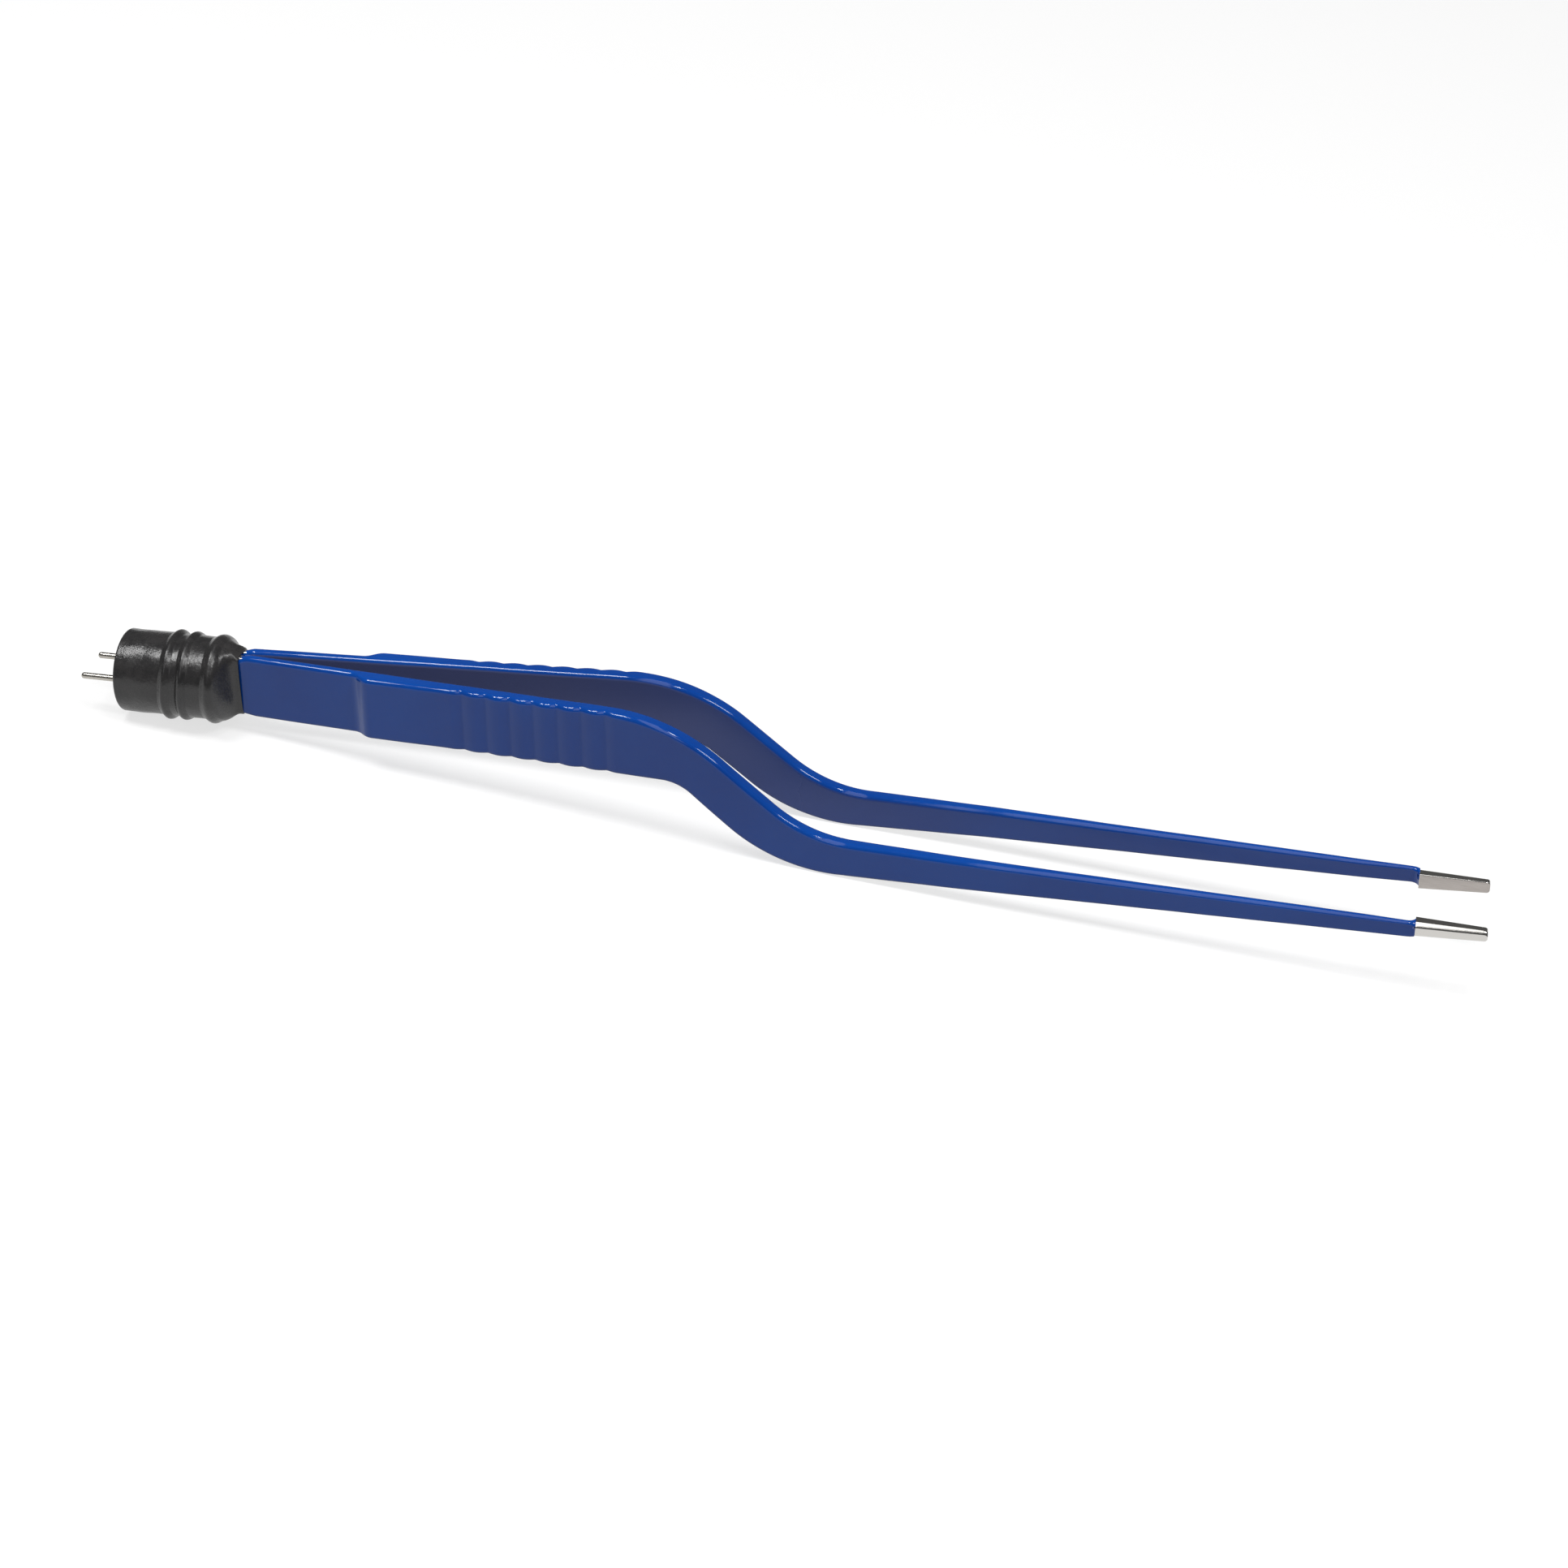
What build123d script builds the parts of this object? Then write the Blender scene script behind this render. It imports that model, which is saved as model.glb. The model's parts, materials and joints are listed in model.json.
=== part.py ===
from build123d import *
import os
from math import asin, atan2, cos, degrees, hypot, radians, sin, tan

# Bipolar forceps, bayonet pattern. Millimetres.
# Drawn along its handle axis: X runs from the sleeve's rear rim to the tips, Y is the way the arms open and
# Z is up across the blades. At the end it is laid down as it rests: on the sleeve's rear rim and both elbows.

# Sleeve and its rings
sleeve_length = 18.5
sleeve_radius = 6.25
sleeve_wall = 0.85
rear_recess = 0.6
rim_edge_radius = 0.35
thin_ring_places = (7.7, 10.4)
thin_ring_width = 1.4
wide_ring_place = 14.6
wide_ring_width = 2.0
ring_height = 0.5
nose_length = 2.8
nose_radius = 5.2
nose_bulge = 0.05
lip_length = 2.2
lip_side = 2.6
pinch_length = 2.0
pinch_bulge = 0.6
pinch_setback = 0.7
mouth_gap = 0.2
mouth_rise_gap = 0.08
mouth_corner_radius = 0.8

# Contact pins
pin_radius = 0.48
pin_length = 6.2
pin_spacing = 6.5
pin_collar_radius = 1.1
pin_collar_length = 1.2

# Connector body and what it holds
body_fit = 0.05
body_groove_depth = 0.5
body_front_gap = 0.3
lug_thickness = 0.4
lug_width = 3.0
lug_overlap = 2.4
divider_thickness = 0.3
divider_seat = 1.5
moving_gap = 0.3

# Blade tails inside the sleeve
pivot_depth = 1.0
tail_length = 5.0
tail_height = 6.4
coat_cover = 1.6

# Arms from the side: outline of the coated arm
handle_height = 9.9
upper_bend_top = 85.7
upper_bend_bottom = 87.2
drop_angle = 40.0
upper_bend_top_radius = 27.0
upper_bend_bottom_radius = 7.0
elbow_top = 12.0
elbow_bottom = 17.7
elbow_top_radius = 19.5
elbow_bottom_radius = 30.0
shaft_end = 193.3
shaft_end_top = 14.7
shaft_end_bottom = 17.1

# Arms from above: half distances from the middle plane, and thicknesses, of the coated arm
mouth_inner = 0.12
bow_place = 93.0
bow_inner = 5.7
middle_place = 130.0
middle_inner = 6.5
neck_inner = 6.62
spring_thickness = 1.6
shoulder_thickness = 2.9
grip_place = 51.0
grip_thickness = 2.45
bow_thickness = 2.25
middle_thickness = 1.85
neck_thickness = 1.05
mouth_radius = 12.0
bow_radius = 120.0
step_place = 38.0
step_length = 1.8
step_radius = 2.4
grip_radius = 40.0
flare_length = 0.8
flare_start_rise = 0.1

# The coat
coat_thickness = 0.25
coat_edge_radius = 0.45

# Finger flutes on the outer faces
flute_count = 7
flute_first = 54.0
flute_pitch = 3.68
flute_depth = 0.42
flute_radius = 1.6
flute_lip_radius = 1.6

# Bare tips
tip_length = 10.0
tip_root_height = 2.4
tip_end_height = 1.8
tip_drop = 15.9
tip_root_thickness = 2.05
tip_end_thickness = 1.4
tip_end_gap = 5.9
tip_closed_gap = 0.03
tip_round_radius = 0.7
tip_edge_radius = 0.12
tip_corner_radius = 0.45
pad_proud = 0.06
butt_setback = 1.9

# Worked out from the sizes above
pivot_place = sleeve_length - pivot_depth
pivot_side = mouth_inner + spring_thickness / 2
tail_start = pivot_place - tail_length
tip_end = shaft_end + tip_length
closing_angle = degrees(asin((tip_end_gap - tip_closed_gap) / (tip_end - pivot_place)))
bore_radius = sleeve_radius - sleeve_wall
coat_start = sleeve_length - coat_cover
body_front = coat_start - body_front_gap - moving_gap
pocket_floor = tail_start - moving_gap
tail_outer = mouth_inner + spring_thickness - coat_thickness
lug_side = tail_outer + moving_gap
lug_floor = pocket_floor - 2 * divider_seat


def rounded_face(corners):
    """Closed outline from (across, up, radius) corners; a radius of zero leaves the corner sharp."""
    face = make_face(Polyline([(across, up) for across, up, _ in corners], close=True))
    for across, up, radius in corners:
        if radius > 0:
            corner = face.vertices().sort_by_distance((across, up, 0))[0]
            face = fillet([corner], radius)
    return face


def inner_side(place):
    """Half gap between the coated arms along the straight stretch from the mouth to the bow."""
    share = (place - sleeve_length) / (bow_place - sleeve_length)
    return mouth_inner + share * (bow_inner - mouth_inner)


def cut_flutes(plan):
    """Row of scallops along the grip's outer edge, each lip rounded over."""
    grip_side = inner_side(grip_place) + grip_thickness
    slope = atan2(bow_inner + bow_thickness - grip_side, bow_place - grip_place)
    centre_lift = flute_radius - flute_depth
    for number in range(flute_count):
        place = flute_first + number * flute_pitch
        line = grip_side + (place - grip_place) * tan(slope)
        centre = (place - centre_lift * sin(slope), line + centre_lift * cos(slope))
        plan -= Pos(*centre) * Circle(flute_radius)
    reach = flute_pitch / 2
    row_end = flute_first + (flute_count - 1) * flute_pitch
    lips = [v for v in plan.vertices() if flute_first - reach < v.X < row_end + reach]
    return fillet(lips, flute_lip_radius)


def arm_plan():
    """The coated arm from above, stepped and fluted on its outer side."""
    back = tail_start
    step_start = step_place - step_length / 2
    step_stop = step_place + step_length / 2
    plan = rounded_face([
        (back, mouth_inner, 0),
        (sleeve_length, mouth_inner, mouth_radius),
        (bow_place, bow_inner, bow_radius),
        (middle_place, middle_inner, bow_radius),
        (shaft_end, neck_inner, 0),
        (shaft_end, neck_inner + neck_thickness, 0),
        (middle_place, middle_inner + middle_thickness, bow_radius),
        (bow_place, bow_inner + bow_thickness, bow_radius),
        (grip_place, inner_side(grip_place) + grip_thickness, grip_radius),
        (step_stop, inner_side(step_stop) + shoulder_thickness, step_radius),
        (step_start, inner_side(step_start) + spring_thickness, step_radius),
        (sleeve_length, mouth_inner + spring_thickness, mouth_radius),
        (back, mouth_inner + spring_thickness, 0),
    ])
    return cut_flutes(plan)


def inner_pad(place):
    """Half gap at the tips' inner faces, which come together flat when the arms close."""
    return tip_end_gap - (tip_end - place) * tan(radians(closing_angle))


def arm_side():
    """The coated arm from the side: straight handle, bayonet drop and tapering shaft."""
    half = handle_height / 2
    fall = tan(radians(drop_angle))
    elbow_top_place = upper_bend_top + (half + elbow_top) / fall
    elbow_bottom_place = upper_bend_bottom + (elbow_bottom - half) / fall
    return rounded_face([
        (tail_start, half, 0),
        (upper_bend_top, half, upper_bend_top_radius),
        (elbow_top_place, -elbow_top, elbow_top_radius),
        (shaft_end, -shaft_end_top, 0),
        (shaft_end, -shaft_end_bottom, 0),
        (elbow_bottom_place, -elbow_bottom, elbow_bottom_radius),
        (upper_bend_bottom, -half, upper_bend_bottom_radius),
        (tail_start, -half, 0),
    ])


def slab(low, high):
    """Box from one corner to the other."""
    size = [b - a for a, b in zip(low, high)]
    return Pos(*low) * Box(*size, align=(Align.MIN, Align.MIN, Align.MIN))


def arm_form(inset, edge_radius, start, end):
    """Arm between two places, shrunk all round by inset, with its long edges rounded."""
    plan = offset(arm_plan(), amount=-inset) if inset else arm_plan()
    side = offset(arm_side(), amount=-inset) if inset else arm_side()
    reach = 4 * handle_height
    form = extrude(plan, amount=reach, both=True) & extrude(Plane.XZ * side, amount=reach, both=True)
    form = form & slab((start, 0, -reach), (end, reach, reach))
    long_edges = [e for e in form.edges() if abs((e @ 1 - e @ 0).X) > 0.02]
    return fillet(long_edges, edge_radius)


def neck_section(place, inset, share):
    """Rounded section of the shaft near its end, its inner side moved in by a share of the flare."""
    along = (place - middle_place) / (shaft_end - middle_place)
    inner = middle_inner + along * (neck_inner - middle_inner)
    outer = middle_inner + middle_thickness
    outer += along * (neck_inner + neck_thickness - outer)
    inner -= share * (neck_inner - inner_pad(shaft_end) - pad_proud)
    elbow_top_place = upper_bend_top + (handle_height / 2 + elbow_top) / tan(radians(drop_angle))
    elbow_bottom_place = upper_bend_bottom + (elbow_bottom - handle_height / 2) / tan(radians(drop_angle))
    back = shaft_end - place
    top = -shaft_end_top + back * (shaft_end_top - elbow_top) / (shaft_end - elbow_top_place)
    bottom = -shaft_end_bottom - back * (elbow_bottom - shaft_end_bottom) / (shaft_end - elbow_bottom_place)
    size = (outer - inner - 2 * inset, top - bottom - 2 * inset)
    centre = (place, (outer + inner) / 2, (top + bottom) / 2)
    section = RectangleRounded(*size, coat_edge_radius - inset)
    return Plane(origin=centre, x_dir=(0, 1, 0), z_dir=(1, 0, 0)) * section


def flare(inset):
    """Last stretch of the shaft, where its inner side swells out to the thickness of the tip."""
    return loft([
        neck_section(shaft_end - butt_setback, inset, 0),
        neck_section(shaft_end - flare_length, inset, flare_start_rise),
        neck_section(shaft_end, inset, 1),
    ])


def tip_section(place, thickness, height):
    """Flat inner face and rounded outer edges, upright across the arm at one place."""
    middle = inner_pad(place) + thickness / 2
    section = Rectangle(thickness, height)
    outer = section.vertices().sort_by(Axis.X)[2:]
    section = fillet(outer, tip_round_radius * height / tip_root_height)
    inner = section.vertices().sort_by(Axis.X)[:2]
    section = fillet(inner, tip_edge_radius)
    return Plane(origin=(place, middle, -tip_drop), x_dir=(0, 1, 0), z_dir=(1, 0, 0)) * section


def bare_tip():
    """Tapering jaw with the two corners of its end rounded."""
    jaw = loft([
        tip_section(shaft_end, tip_root_thickness, tip_root_height),
        tip_section(tip_end, tip_end_thickness, tip_end_height),
    ])
    far = tip_root_height / 2
    near = tip_end_height / 2
    outline = rounded_face([
        (shaft_end, -tip_drop + far, 0),
        (tip_end, -tip_drop + near, tip_corner_radius),
        (tip_end, -tip_drop - near, tip_corner_radius),
        (shaft_end, -tip_drop - far, 0),
    ])
    return jaw & extrude(Plane.XZ * outline, amount=handle_height, both=True)


def make_tip():
    """Bare jaw in one piece with the root that the coat covers."""
    return flare(coat_thickness) + bare_tip()


def make_blade():
    """Steel blade from its narrow tail in the sleeve to the butt joint with the tip."""
    blade = arm_form(coat_thickness, coat_edge_radius - coat_thickness, tail_start, shaft_end - butt_setback)
    for way in (-1, 1):
        low = tail_height / 2 if way > 0 else -handle_height
        high = handle_height if way > 0 else -tail_height / 2
        blade -= slab((tail_start - 1, 0, low), (coat_start - body_front_gap, handle_height, high))
    return blade


def make_coat(blade, tip):
    """Insulating coat: everything of the arm's outer form that the metal inside leaves."""
    shaft = arm_form(0, coat_edge_radius, coat_start, shaft_end - butt_setback)
    return shaft + flare(0) - blade - tip


def ring_arc(place, width):
    """Bulge of one ring on the sleeve, in the half section."""
    start = (place - width / 2, sleeve_radius)
    crest = (place, sleeve_radius + ring_height)
    return ThreePointArc(start, crest, (place + width / 2, sleeve_radius))


def make_pinch():
    """Block whose outline from above draws the nose's two sides in to the arms."""
    start = (sleeve_length - pinch_setback - pinch_length, sleeve_radius)
    stop = (sleeve_length - pinch_setback, lip_side)
    middle = ((start[0] + stop[0]) / 2 + pinch_bulge, (start[1] + stop[1]) / 2 + pinch_bulge)
    reach = 2 * sleeve_radius
    outline = [
        Polyline((0, 0), (0, reach), (start[0], reach), start),
        ThreePointArc(start, middle, stop),
        Polyline(stop, (sleeve_length, lip_side), (sleeve_length, 0), (0, 0)),
    ]
    half = make_face(outline)
    return extrude(half + mirror(half, about=Plane.XZ), amount=reach, both=True)


def make_sleeve():
    """Turned sleeve with its rings and rounded nose, bored from the rear, with a slot in the lip for the arms."""
    rings = [(place, thin_ring_width) for place in thin_ring_places] + [(wide_ring_place, wide_ring_width)]
    rim_start = (0, sleeve_radius - rim_edge_radius)
    at = (rim_edge_radius, sleeve_radius)
    outline = [RadiusArc(rim_start, at, rim_edge_radius)]
    for place, width in rings:
        bulge = ring_arc(place, width)
        outline += [Line(at, bulge @ 0), bulge]
        at = bulge @ 1
    nose_start = (sleeve_length - nose_length, sleeve_radius)
    nose_middle = (sleeve_length - nose_length / 2, (sleeve_radius + nose_radius) / 2 + nose_bulge)
    outline.append(Line(at, nose_start))
    outline.append(ThreePointArc(nose_start, nose_middle, (sleeve_length, nose_radius)))
    outline.append(Polyline((sleeve_length, nose_radius), (sleeve_length, 0), (0, 0), rim_start))
    sleeve = revolve(make_face(outline), Axis.X)
    bore = Plane.YZ * Circle(bore_radius)
    sleeve -= extrude(bore, amount=sleeve_length - lip_length)
    sleeve &= make_pinch()
    slot_width = 2 * (mouth_inner + spring_thickness + mouth_gap)
    slot_height = handle_height + 2 * mouth_rise_gap
    slot = Plane.YZ * RectangleRounded(slot_width, slot_height, mouth_corner_radius)
    return sleeve - extrude(slot, amount=sleeve_length + 1)


def make_body():
    """Insulating core: ribs under the sleeve's rings, two pin holes, a lug channel and a slot for the tails."""
    radius = bore_radius - body_fit
    body = Plane.YZ.offset(rear_recess) * Circle(radius)
    body = extrude(body, amount=body_front - rear_recess)
    first, second = thin_ring_places
    grooves = [
        (first + thin_ring_width / 2, second - thin_ring_width / 2),
        (second + thin_ring_width / 2, wide_ring_place - wide_ring_width / 2),
    ]
    for start, end in grooves:
        ring = Circle(radius + 1) - Circle(radius - body_groove_depth)
        body -= extrude(Plane.YZ.offset(start) * ring, amount=end - start)
    for way in (-1, 1):
        hole = Pos(way * pin_spacing / 2, 0) * Circle(pin_radius)
        body -= extrude(Plane.YZ * hole, amount=lug_floor)
        seat = Pos(way * pin_spacing / 2, 0) * Circle(pin_collar_radius)
        body -= extrude(Plane.YZ.offset(rear_recess) * seat, amount=pin_collar_length)
    lug_reach = pin_spacing / 2 + pin_radius
    half_lug = lug_width / 2
    body -= slab((lug_floor, -lug_reach, -half_lug), (body_front, lug_reach, half_lug))
    half_tail = tail_height / 2 + moving_gap
    body -= slab((pocket_floor, -lug_side, -half_tail), (body_front, lug_side, half_tail))
    return body - make_divider()


def make_divider():
    """Insulating plate between the two tails, let into the floor of their slot."""
    half = tail_height / 2
    side = divider_thickness / 2
    return slab((pocket_floor - divider_seat, -side, -half), (body_front, side, half))


def make_pin():
    """Round contact pin with a domed end and a collar that seats in the core's rear face."""
    reach = lug_floor
    half_section = [
        (-pin_length + pin_radius, pin_radius),
        (rear_recess, pin_radius),
        (rear_recess, pin_collar_radius),
        (rear_recess + pin_collar_length, pin_collar_radius),
        (rear_recess + pin_collar_length, pin_radius),
        (reach, pin_radius),
        (reach, 0),
        (-pin_length, 0),
    ]
    dome = RadiusArc((-pin_length, 0), half_section[0], pin_radius)
    pin = revolve(make_face([Polyline(half_section), dome]), Axis.X)
    return Pos(0, pin_spacing / 2, 0) * pin


def make_lug():
    """Bent strip: its foot stands on the pin's inner end and its leaf lies along the blade's tail."""
    half = lug_width / 2
    foot = slab((lug_floor, lug_side, -half), (lug_floor + lug_thickness, pin_spacing / 2 + pin_radius, half))
    leaf = slab((lug_floor, lug_side, -half), (tail_start + lug_overlap, lug_side + lug_thickness, half))
    strip = foot + leaf
    heel = [e for e in strip.edges().filter_by(Axis.Z) if e.center().X < lug_floor + 0.01]
    heel = [e for e in heel if e.center().Y < lug_side + 0.01]
    return fillet(heel, lug_thickness * 0.9)


def rest_pitch():
    """Angle of the floor: the line from the sleeve's rear rim that just touches the underside of the elbow."""
    half = handle_height / 2
    fall = radians(drop_angle)
    corner = upper_bend_bottom + (elbow_bottom - half) / tan(fall)
    rise = atan2(elbow_bottom - shaft_end_bottom, shaft_end - corner)
    turn = fall + rise
    run = elbow_bottom_radius * tan(turn / 2)
    centre_x = corner + run * cos(rise) - elbow_bottom_radius * sin(rise)
    centre_z = -elbow_bottom + run * sin(rise) + elbow_bottom_radius * cos(rise)
    away_x = centre_x
    away_z = centre_z + sleeve_radius
    return degrees(asin(elbow_bottom_radius / hypot(away_x, away_z)) - atan2(away_z, away_x))


def build_all():
    """Every piece by name, laid down as it rests, with the middle of its footprint at the origin."""
    blade = make_blade()
    tip = make_tip()
    left = {
        "contact_pin": make_pin(),
        "lug": make_lug(),
        "blade": blade,
        "coating": make_coat(blade, tip),
        "tip": tip,
    }
    pieces = {
        "shrink_sleeve": make_sleeve(),
        "connector_body": make_body(),
        "tail_divider": make_divider(),
    }
    for name, piece in left.items():
        pieces[name + "_left"] = piece
        pieces[name + "_right"] = mirror(piece, about=Plane.XZ)
    turned = {name: Rot(0, -rest_pitch(), 0) * piece for name, piece in pieces.items()}
    box = Compound(children=[Compound(piece.solids()) for piece in turned.values()]).bounding_box()
    foot = Pos(-(box.min.X + box.max.X) / 2, 0, -box.min.Z)
    return {name: foot * piece for name, piece in turned.items()}, foot


def main():
    os.makedirs("parts", exist_ok=True)
    pieces, foot = build_all()
    for name, piece in pieces.items():
        export_step(piece, os.path.join("parts", name + ".step"))
    return pieces, foot


main()
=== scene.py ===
import json
import bpy
import numpy as np
from mathutils import Matrix


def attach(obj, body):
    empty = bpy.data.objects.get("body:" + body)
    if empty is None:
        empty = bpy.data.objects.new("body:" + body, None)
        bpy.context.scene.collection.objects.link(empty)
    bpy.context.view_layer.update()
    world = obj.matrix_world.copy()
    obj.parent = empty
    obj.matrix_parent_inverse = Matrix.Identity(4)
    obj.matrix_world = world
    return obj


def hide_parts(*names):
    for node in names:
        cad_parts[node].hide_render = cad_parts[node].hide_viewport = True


# Bipolar forceps, bayonet pattern: looks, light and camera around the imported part.
# Sizes in the shape dictionaries are millimetres in the handle's own frame: x from the sleeve's rear rim
# towards the tips, y across the opening, z up across the blades. toRow() turns them into metres in the
# shared frame. In the look dictionaries a noise scale is per metre, and a bump is its strength and its
# height in metres.

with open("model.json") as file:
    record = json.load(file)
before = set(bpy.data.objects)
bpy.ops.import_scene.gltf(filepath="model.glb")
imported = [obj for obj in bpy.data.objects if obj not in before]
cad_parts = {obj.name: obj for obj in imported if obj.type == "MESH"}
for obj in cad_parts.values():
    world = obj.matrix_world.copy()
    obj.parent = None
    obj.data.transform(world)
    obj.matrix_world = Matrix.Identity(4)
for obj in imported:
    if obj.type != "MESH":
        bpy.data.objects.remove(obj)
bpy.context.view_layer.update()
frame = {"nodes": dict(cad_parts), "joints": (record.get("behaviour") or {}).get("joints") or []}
print("frame loaded:", len(frame["nodes"]), "nodes")

handleFrame = {
    "pivotPlace": 17.5,  # where the arm's hinge stands along the handle
}
leftJoint = next(j for j in frame["joints"] if j["name"] == "arm_left_flex")
upAxis = -np.array(leftJoint["axis"], float)
acrossAxis = np.array([0.0, 1.0, 0.0])
alongAxis = np.cross(acrossAxis, upAxis)
rimMiddle = np.array(leftJoint["pos_m"], float) * [1, 0, 1] - 0.001 * handleFrame["pivotPlace"] * alongAxis


def toRow(x, y, z):
    # a point is the rim's middle plus x along, y across and z up the handle, in metres
    x, y, z = np.broadcast_arrays(x, y, z)
    steps = x[..., None] * alongAxis + y[..., None] * acrossAxis + z[..., None] * upAxis
    return rimMiddle + 0.001 * steps


def meshFromGrid(name, points, material, body, node, hasEnds=True):
    # rows of points become quads: each row joins the next, and a row's last point joins its first.
    # With ends, fans to their middles close them; without, the last row joins the first row.
    rows, steps = points.shape[:2]
    verts = points.reshape(-1, 3)
    i, j = np.meshgrid(np.arange(rows - 1 if hasEnds else rows), np.arange(steps), indexing="ij")
    row, nextRow = i * steps, (i + 1) % rows * steps
    nextStep = (j + 1) % steps
    quads = np.stack([row + j, row + nextStep, nextRow + nextStep, nextRow + j], -1).reshape(-1, 4)
    fans = np.zeros((0, 3), int)
    if hasEnds:
        poles = np.stack([points[0].mean(0), points[-1].mean(0)])
        first, last = len(verts), len(verts) + 1
        verts = np.concatenate([verts, poles])
        ring = np.arange(steps)
        after = (ring + 1) % steps
        start = np.stack([np.full(steps, first), after, ring], -1)
        stop = np.stack([np.full(steps, last), ring + (rows - 1) * steps, after + (rows - 1) * steps], -1)
        fans = np.concatenate([start, stop])
    a, b, c, d = (verts[quads[:, k]] for k in range(4))
    volume = np.einsum("ij,ij->", a, np.cross(b, c)) + np.einsum("ij,ij->", a, np.cross(c, d))
    if volume < 0:  # turned inside out, so every face is read the other way round
        quads, fans = quads[:, ::-1], fans[:, ::-1]
    mesh = bpy.data.meshes.new(name)
    mesh.from_pydata(verts, [], quads.tolist() + fans.tolist())
    mesh.polygons.foreach_set("use_smooth", np.ones(len(mesh.polygons), bool))
    mesh.materials.append(material)
    piece = bpy.data.objects.new(name, mesh)
    bpy.context.scene.collection.objects.link(piece)
    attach(piece, body)
    if node:
        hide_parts(node)


def roundedLine(x, corners):
    # straight runs between (x, y, radius) corners, with an arc tangent to both runs at each
    px, py, pr = np.array(corners, float).T
    y = np.interp(x, px, py)
    angles = np.arctan(np.diff(py) / np.diff(px))
    for before, after, cornerX, cornerY, radius in zip(angles[:-1], angles[1:], px[1:-1], py[1:-1], pr[1:-1]):
        way = np.sign(after - before)
        run = radius * abs(np.tan((after - before) / 2))
        startX = cornerX - run * np.cos(before)
        centreX = startX - way * radius * np.sin(before)
        centreY = cornerY - run * np.sin(before) + way * radius * np.cos(before)
        arc = centreY - way * np.sqrt(np.maximum(radius**2 - (x - centreX) ** 2, 0))
        y = np.where((x > startX) & (x < cornerX + run * np.cos(after)), arc, y)
    return y


def ripple(x, seed, wavelengths, height):
    # mean of slow sine waves with seeded phases, for a film that isn't quite even
    phases = np.random.default_rng(seed).uniform(0, 2 * np.pi, len(wavelengths))
    return height * sum(np.sin(2 * np.pi * x / w + p) for w, p in zip(wavelengths, phases)) / len(wavelengths)


# Materials

noiseSpread = (0.3, 0.7)  # most values of the noise lie between these


def newMaterial(name):
    material = bpy.data.materials.new(name)
    material.use_nodes = True
    tree = material.node_tree
    shader = next(n for n in tree.nodes if n.type == "BSDF_PRINCIPLED")
    return material, tree, shader


def noiseOn(tree, scale, detail=4.0, stretch=(1, 1, 1), roughness=0.55):
    # noise over the object's own coordinates, squeezed by stretch
    coords = tree.nodes.new("ShaderNodeTexCoord")
    mapping = tree.nodes.new("ShaderNodeMapping")
    mapping.inputs["Scale"].default_value = stretch
    noise = tree.nodes.new("ShaderNodeTexNoise")
    noise.inputs["Scale"].default_value = scale
    noise.inputs["Detail"].default_value = detail
    noise.inputs["Roughness"].default_value = roughness
    tree.links.new(coords.outputs["Object"], mapping.inputs["Vector"])
    tree.links.new(mapping.outputs["Vector"], noise.inputs["Vector"])
    return noise.outputs["Fac"]


def rampOf(tree, value, low, high, lowColour, highColour):
    # colour that runs from lowColour to highColour as value goes from low to high
    ramp = tree.nodes.new("ShaderNodeValToRGB")
    ramp.color_ramp.elements[0].position = low
    ramp.color_ramp.elements[1].position = high
    ramp.color_ramp.elements[0].color = (*lowColour, 1)
    ramp.color_ramp.elements[1].color = (*highColour, 1)
    tree.links.new(value, ramp.inputs["Fac"])
    return ramp.outputs["Color"]


def rangeOf(tree, value, low, high, lowOut, highOut):
    # number that runs from lowOut to highOut as value goes from low to high
    mapRange = tree.nodes.new("ShaderNodeMapRange")
    for socket, number in zip(("From Min", "From Max", "To Min", "To Max"), (low, high, lowOut, highOut)):
        mapRange.inputs[socket].default_value = number
    tree.links.new(value, mapRange.inputs["Value"])
    return mapRange.outputs["Result"]


def facingOf(tree, inwards, low, high):
    # 1 where the surface faces the inwards way along y by more than high, 0 where by less than low
    coords = tree.nodes.new("ShaderNodeTexCoord")
    facing = tree.nodes.new("ShaderNodeVectorMath")
    facing.operation = "DOT_PRODUCT"
    facing.inputs[1].default_value = (0, inwards, 0)
    tree.links.new(coords.outputs["Normal"], facing.inputs[0])
    return rangeOf(tree, facing.outputs["Value"], low, high, 0, 1)


def bumpFrom(tree, height, strength, distance, below=None):
    # surface direction tilted by the height's slope, on top of the bump below it
    bump = tree.nodes.new("ShaderNodeBump")
    bump.inputs["Strength"].default_value = strength
    bump.inputs["Distance"].default_value = distance
    tree.links.new(height, bump.inputs["Height"])
    if below:
        tree.links.new(below, bump.inputs["Normal"])
    return bump.outputs["Normal"]


coatLook = {
    "deep": (0.0016, 0.046, 0.28),
    "bright": (0.0022, 0.059, 0.33),
    "patchScale": 45,  # a patch is about 20 mm
    "patchSpread": (0.35, 0.65),
    "roughness": (0.06, 0.11),
    "smearsPerPatch": 6,
    "paintedReflectionGrey": (0.078, 0.096, 0.225),  # painted reflection of the white floor, put into the base colour of the arms' inner faces, which are also duller
    "hazyRoughness": 0.45,
    "paintedReflectionAndDullFacing": (0.90, 0.985),
    "paintedReflectionAndDullEnds": (-0.035, 0.035),  # the painted reflection and the dullness thin out between these places along the shared x axis, in metres
    "paintedReflectionAndDullLeft": 0.15,
    "peelScale": 700,  # orange peel of about 1.4 mm
    "peelBump": (0.05, 0.0001),
    "refraction": 1.40,
}


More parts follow.
